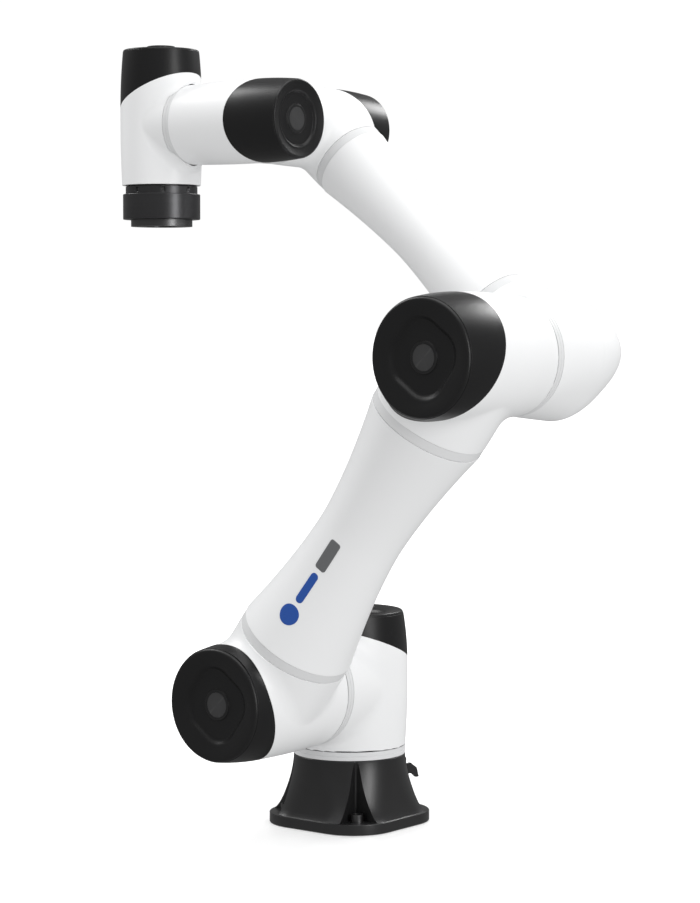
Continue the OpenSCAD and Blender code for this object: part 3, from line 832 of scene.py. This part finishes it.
def sticker(name, patches, place):
    """Thin patches (middle, length, width, corner) that follow the upper arm's tube."""
    points, faces = [], []
    total = 0
    for middle, length, width, corner in patches:
        flat = outline_points(length, width, corner)
        layers = [(0.98, -0.4), (1.0, 0.12), (0.99, 0.25)] + [(k, 0.28) for k in (0.8, 0.55, 0.3)]
        rings = []
        for scale, rise in layers:
            s = middle + flat[:, 0] * scale
            radius = waist(s, *UPPER_TUBE) + rise
            turn = MARKER_TURN - flat[:, 1] * scale / radius
            rings.append(np.stack([radius * np.cos(turn), radius * np.sin(turn), s], 1))
        part, skin = loft(rings, first_pole=True, last_pole=True)
        for pole, rise in ((-2, -0.4), (-1, 0.28)):
            radius = float(waist(middle, *UPPER_TUBE)) + rise
            part[pole] = (radius * math.cos(MARKER_TURN), radius * math.sin(MARKER_TURN), middle)
        points.append(part)
        faces += [tuple(k + total for k in f) for f in skin]
        total += len(part)
    points = np.concatenate(points)
    return mesh_object(name, points, [f[::-1] for f in faces], place)


made = sticker("blue_marker_look", [(121, 21, 21, 10.4), (153.5, 35, 8.5, 4.1)],
               ALONG_UPPER_ARM)
dressed(made, "upper_arm", "marker_blue", "blue_marker")
made = sticker("grey_marker_look", [(193, 34, 12.5, 3.0)], ALONG_UPPER_ARM)
dressed(made, "upper_arm", "marker_grey", "grey_marker")

# ---------------------------------------------------------------- base casting

# The plate, and the flare above it that ends in a round top
PLATE_HALF, PLATE_CORNER, PLATE_TOP = 73.0, 46.0, 11.0
FLARE_HALF, FLARE_SPARE, FLARE_TOP, TOP_RADIUS = 70.7, 27.0, 72.0, 58.5
# A notch: distance and half width of its bottom, slope of its walls, the height where it ends, how
# far its bottom leans out and up to what height, and from where it closes
NOTCH_APEX, NOTCH_HALF, NOTCH_SLOPE, NOTCH_TOP = 52.0, 1.7, 0.74, 70.5
NOTCH_LEAN, NOTCH_LEAN_TOP, NOTCH_CLOSES, NOTCH_REACH = 3.6, 40.0, 48.0, 60
# Radius of the hollow below, height of its roof and radius of the hole in it
CAVITY, ROOF, HOLE = 44.0, 63.0, 10.0
SLEEVE_CIRCLE, SLEEVE_FIT = 66.0, 6.7
PANEL_POCKET = ((-25.3, 55.9, 15.7), (25.3, 90, 64.3))
CABLE_POCKET = ((-15, 30, 22), (15, 60, 58))


def flare_share(z):
    """How far the flare has spread at height z: 1 on the plate, 0 under the joint."""
    rise = min(1, max(0, (z - PLATE_TOP) / (FLARE_TOP - PLATE_TOP)))
    return 0.8 * (1 - rise) ** 1.75 + 0.2 * (1 - rise) ** 12


def base_outline(z, inset=0.0, notched=True):
    """One closed ring round the base at height z, with the four corner notches in it."""
    share = flare_share(z)
    half = TOP_RADIUS + (FLARE_HALF - TOP_RADIUS) * share if notched else PLATE_HALF
    corner = half - FLARE_SPARE * share if notched else PLATE_CORNER
    half, corner = half - inset, corner - inset

    def edge(turn):
        """Distance from the middle to the outline, at a turn from a corner."""
        return float(square_radius(np.array(turn + math.pi / 4), half, corner))

    apex = NOTCH_APEX + NOTCH_LEAN * min(1, z / NOTCH_LEAN_TOP)
    apex += (edge(0) - apex) * max(0, (z - NOTCH_CLOSES) / (NOTCH_TOP - NOTCH_CLOSES)) ** 4
    apex = min(apex, edge(0) - 0.02)
    low, high = 0.0, 1.0
    for _ in range(40):
        mid = (low + high) / 2
        x, y = apex + mid * NOTCH_REACH, NOTCH_HALF + mid * NOTCH_REACH * NOTCH_SLOPE
        low, high = (mid, high) if math.hypot(x, y) < edge(math.atan2(y, x)) else (low, mid)
    mouth = np.array((apex + low * NOTCH_REACH, NOTCH_HALF + low * NOTCH_REACH * NOTCH_SLOPE))
    mouth_turn = math.atan2(mouth[1], mouth[0])
    inwards = np.array((apex, NOTCH_HALF)) - mouth
    wall = [mouth + inwards * t for t in (0.0, 0.04, 0.3, 0.6, 0.9)]
    wall.append(np.array((apex - 0.5, NOTCH_HALF * 0.45)))
    side = []
    for t in np.linspace(math.pi / 4, mouth_turn + 0.012, 14):
        side.append(np.array((edge(t) * math.cos(t), edge(t) * math.sin(t))))
    if notched:
        upper = side + wall
    else:
        turns = np.linspace(math.pi / 4, 0, len(side) + len(wall), endpoint=False)
        upper = [np.array((edge(t) * math.cos(t), edge(t) * math.sin(t))) for t in turns]
    lower = [p * (1, -1) for p in reversed(upper)][:-1]
    quarter = np.array([p * (1, -1) for p in upper] + [q * (1, -1) for q in lower])
    ring = []
    for q in range(4):
        a = math.pi / 4 + q * math.pi / 2
        c, s = math.cos(a), math.sin(a)
        ring.append(np.stack([quarter[:, 0] * c - quarter[:, 1] * s,
                              quarter[:, 0] * s + quarter[:, 1] * c], 1))
    ring = np.concatenate(ring)
    return np.column_stack([ring, np.full(len(ring), z)])


def follow(ring, radius, z):
    """The ring's points drawn in to a circle."""
    return np.column_stack([unit(ring[:, :2]) * radius, np.full(len(ring), z)])


def base_mesh():
    """The casting as one closed skin: plate, notched flare, round top, and the hollow below."""
    plain = base_outline(PLATE_TOP, notched=False)
    heights = [11.0, 11.3, 12, 13, 14, 15.5, 17, 20, 24, 28, 32, 36, 40, 44, 48, 52, 56, 60, 63,
               65, 66.5, 67.7, 68.8, 69.6, 70.2, 70.6, 71.4]
    rings = [follow(plain, CAVITY, 0.0)]
    for z, inset in ((0.0, 0.8), (0.25, 0.25), (0.8, 0.0), (PLATE_TOP - 0.9, 0.0),
                     (PLATE_TOP - 0.3, 0.3), (PLATE_TOP, 0.9)):
        ring = base_outline(PLATE_TOP, inset, False)
        ring[:, 2] = z
        rings.append(ring)
    rings += [base_outline(z) for z in heights]
    top = base_outline(FLARE_TOP)
    rings += [follow(top, TOP_RADIUS - 0.5, FLARE_TOP - 0.1),
              follow(top, TOP_RADIUS - 1.1, FLARE_TOP), follow(top, HOLE, FLARE_TOP),
              follow(top, HOLE, ROOF), follow(top, CAVITY, ROOF)]
    return loft(rings, closed=True)


def round_bar(radius, low, high, x=0.0, y=0.0, count=48):
    """A cylinder along z, to carve with."""
    rings = [circle(radius, z, count) + (x, y, 0) for z in (low, high)]
    return loft(rings, first_pole=True, last_pole=True)


def block(low, high):
    """A box between two corners, to carve with."""
    xs, ys, zs = zip(low, high)
    ring = [(xs[0], ys[0]), (xs[1], ys[0]), (xs[1], ys[1]), (xs[0], ys[1])]
    rings = [np.array([(x, y, z) for x, y in ring], float) for z in zs]
    return loft(rings, first_pole=True, last_pole=True)


def keep_edges(target, angle=28):
    """Sharp where faces meet at more than the angle, and weighted normals elsewhere."""
    target.data.set_sharp_from_angle(angle=math.radians(angle))
    weighted = target.modifiers.new("normals", "WEIGHTED_NORMAL")
    weighted.keep_sharp = True
    return target


points, faces = base_mesh()
made = mesh_object("base_casting_look", points, faces, AT_BASE)
sleeve_reach = SLEEVE_CIRCLE / math.sqrt(2)
carve(made, [round_bar(SLEEVE_FIT, -1, PLATE_TOP + 1, sx * sleeve_reach, sy * sleeve_reach)
             for sx in (1, -1) for sy in (1, -1)] + [block(*PANEL_POCKET), block(*CABLE_POCKET)])
keep_edges(made)
dressed(made, "base", "black_casting", "base_casting")

# ---------------------------------------------------------------- tool flange


FLANGE_RADIUS, FLANGE_NECK, FLANGE_BORE = 39.6, 36.8, 24
FLANGE_HOLE, FLANGE_HOLE_Z, FLANGE_HOLES = 2.0, -64.7, 8


def flange_look():
    """The flange, with eight small holes round its neck."""
    made = revolved("tool_flange_look", [
        (FLANGE_BORE, -60.3, 0), (28.8, -60.3, 0), (28.8, -61.2, 0), (FLANGE_NECK, -61.2, 0.5),
        (FLANGE_NECK, -69.0, 0.3), (FLANGE_RADIUS, -69.0, 0.8), (FLANGE_RADIUS, -94.8, 0.9),
        (FLANGE_BORE, -94.8, 0)], AT_WRIST_2, 128)
    drills = []
    for k in range(FLANGE_HOLES):
        points, faces = round_bar(FLANGE_HOLE, FLANGE_NECK - 4, FLANGE_NECK + 3, count=24)
        around = Matrix.Rotation(k * 2 * math.pi / FLANGE_HOLES, 3, "Z")
        turn = around @ Matrix.Rotation(math.pi / 2, 3, "Y")
        drills.append((points @ np.array(turn).T + (0, 0, FLANGE_HOLE_Z), faces))
    return keep_edges(carve(made, drills, AT_WRIST_2))


made = flange_look()
dressed(made, "tool", "black_anodised", "tool_flange")

# Edge widths in mm of the CAD pieces that stay in sight at the back
BEVELLED = {"rear_panel": 0.7, "power_connector": 0.6, "connector_lever": 0.5}
for title, width in BEVELLED.items():
    edge = frame["nodes"][title].modifiers.new("soft_edges", "BEVEL")
    edge.width, edge.segments, edge.limit_method = width * MM, 2, "ANGLE"
    edge.angle_limit = math.radians(40)

SHOWN = (("tool_spigot", "steel"), ("flange_screws", "steel"), ("mounting_sleeves", "steel"),
         ("rear_panel", "black_casting"), ("panel_screws", "steel"),
         ("power_connector", "black_plastic"), ("connector_lever", "black_plastic"),
         ("signal_connector", "steel"))
INTERNAL = [(f"j{k}_{part}", "bare_aluminium")
            for k in range(1, 7) for part in ("hub", "gear", "motor")]
for title, slot in (*SHOWN, *INTERNAL):
    materials = frame["nodes"][title].data.materials
    materials.clear()
    materials.append(MATERIAL[slot])

# ---------------------------------------------------------------- floor, light and camera


def floor_material():
    """A pale floor with a painted glow: weak round the arm, fading up to plain white away from it.
    """
    n = Nodes("pale_floor_with_painted_glow")
    place = n.add("ShaderNodeTexCoord").outputs["Object"]
    cloud = n.add("ShaderNodeTexNoise", {"Vector": place, "Scale": 3.0, "Detail": 2.0})
    gloss = n.add("ShaderNodeMapRange", {"Value": cloud.outputs["Fac"], "To Min": 0.16,
                                         "To Max": 0.22})
    n.link(gloss.outputs["Result"], "Roughness")
    n.shader.inputs["Base Color"].default_value = (0.93, 0.93, 0.93, 1)
    n.shader.inputs["Specular IOR Level"].default_value = 0.7
    # Painted glow: 0.35 near the arm up to 1.0 from 1.2 m out, so the floor is painted darker round
    # the arm.
    n.shader.inputs["Emission Color"].default_value = (1, 1, 1, 1)
    near = n.add("ShaderNodeVectorMath", {"Vector": place}, operation="LENGTH")
    glow = n.add("ShaderNodeMapRange", {"Value": near.outputs["Value"], "From Min": 0.1,
                                        "From Max": 1.2, "To Min": 0.35, "To Max": 1.0})
    n.link(glow.outputs["Result"], "Emission Strength")
    return n.material


FLOOR_REACH = 60.0
floor_mesh = bpy.data.meshes.new("floor")
floor_mesh.from_pydata([(x * FLOOR_REACH, y * FLOOR_REACH, -0.0005)
                        for x, y in ((-1, -1), (1, -1), (1, 1), (-1, 1))], [], [(0, 1, 2, 3)])
floor = bpy.data.objects.new("floor", floor_mesh)
bpy.context.scene.collection.objects.link(floor)
floor_mesh.materials.append(floor_material())
floor.visible_diffuse = False
floor.visible_glossy = False


def soft_light(name, place, width, height, power):
    """A rectangular lamp that faces the middle of the arm."""
    data = bpy.data.lights.new(name, "AREA")
    data.shape = "RECTANGLE"
    data.size, data.size_y = width, height
    data.energy = power
    lamp = bpy.data.objects.new(name, data)
    bpy.context.scene.collection.objects.link(lamp)
    lamp.location = place
    lamp.rotation_euler = (MIDDLE - Vector(place)).to_track_quat("-Z", "Y").to_euler()


MIDDLE = Vector((0.05, -0.05, 0.4))
soft_light("top_light", (0.2, -0.1, 2.5), 2.2, 2.2, 24)
soft_light("right_light", (2.6, -0.5, 0.9), 0.7, 1.8, 22)
soft_light("left_light", (-1.7, -0.3, 2.1), 0.5, 1.1, 18)
soft_light("back_light", (0.2, 2.2, 2.0), 0.9, 0.6, 22)

# The studio's glow from straight below (0) to straight above (1), and how much of it glossy
# surfaces reflect. The camera sees plain white.
GLOW = ((0.0, 0.72), (0.45, 0.78), (0.56, 0.84), (0.72, 0.76), (1.0, 0.8))
GLOSSY_SHARE, BACKDROP = 0.26, 1.02


def studio_world():
    """Soft light from all round, in front of a white backdrop."""
    world = bpy.data.worlds.new("studio")
    bpy.context.scene.world = world
    world.use_nodes = True
    tree = world.node_tree
    tree.nodes.clear()
    seen = tree.nodes.new("ShaderNodeBackground")
    seen.inputs["Color"].default_value = (1, 1, 1, 1)
    seen.inputs["Strength"].default_value = BACKDROP
    lit = tree.nodes.new("ShaderNodeBackground")
    direction = tree.nodes.new("ShaderNodeTexCoord")
    height = tree.nodes.new("ShaderNodeSeparateXYZ")
    tree.links.new(direction.outputs["Generated"], height.inputs["Vector"])
    centred = tree.nodes.new("ShaderNodeMapRange")
    centred.inputs["From Min"].default_value = -1.0
    tree.links.new(height.outputs["Z"], centred.inputs["Value"])
    glow = tree.nodes.new("ShaderNodeValToRGB")
    stops = glow.color_ramp.elements
    for stop, (position, level) in zip((stops[0], stops[1]), (GLOW[0], GLOW[-1])):
        stop.position, stop.color = position, (level, level, level, 1)
    for position, level in GLOW[1:-1]:
        stops.new(position).color = (level, level, level, 1)
    tree.links.new(centred.outputs["Result"], glow.inputs["Fac"])
    tree.links.new(glow.outputs["Color"], lit.inputs["Color"])
    path = tree.nodes.new("ShaderNodeLightPath")
    dim = tree.nodes.new("ShaderNodeMapRange")
    dim.inputs["To Min"].default_value = 1.0
    dim.inputs["To Max"].default_value = GLOSSY_SHARE
    tree.links.new(path.outputs["Is Glossy Ray"], dim.inputs["Value"])
    tree.links.new(dim.outputs["Result"], lit.inputs["Strength"])
    blend = tree.nodes.new("ShaderNodeMixShader")
    out = tree.nodes.new("ShaderNodeOutputWorld")
    tree.links.new(path.outputs["Is Camera Ray"], blend.inputs["Fac"])
    tree.links.new(lit.outputs["Background"], blend.inputs[1])
    tree.links.new(seen.outputs["Background"], blend.inputs[2])
    tree.links.new(blend.outputs["Shader"], out.inputs["Surface"])


studio_world()

CAMERA_AZIMUTH, CAMERA_ELEVATION, CAMERA_DISTANCE = 38.32, 3.05, 2.64144
CAMERA_AIM = Vector((0.0004, 0.0003, 0.38804))
LENS, SENSOR = 100.86, 36.0
camera_data = bpy.data.cameras.new("camera")
camera_data.lens = LENS
camera_data.sensor_width = SENSOR
camera = bpy.data.objects.new("camera", camera_data)
bpy.context.scene.collection.objects.link(camera)
azimuth, elevation = math.radians(CAMERA_AZIMUTH), math.radians(CAMERA_ELEVATION)
toward = Vector((math.sin(azimuth) * math.cos(elevation), -math.cos(azimuth) * math.cos(elevation),
                 math.sin(elevation)))
camera.location = CAMERA_AIM + toward * CAMERA_DISTANCE
camera.rotation_euler = (-toward).to_track_quat("-Z", "Y").to_euler()
bpy.context.scene.camera = camera
bpy.context.scene.view_settings.view_transform = "Standard"
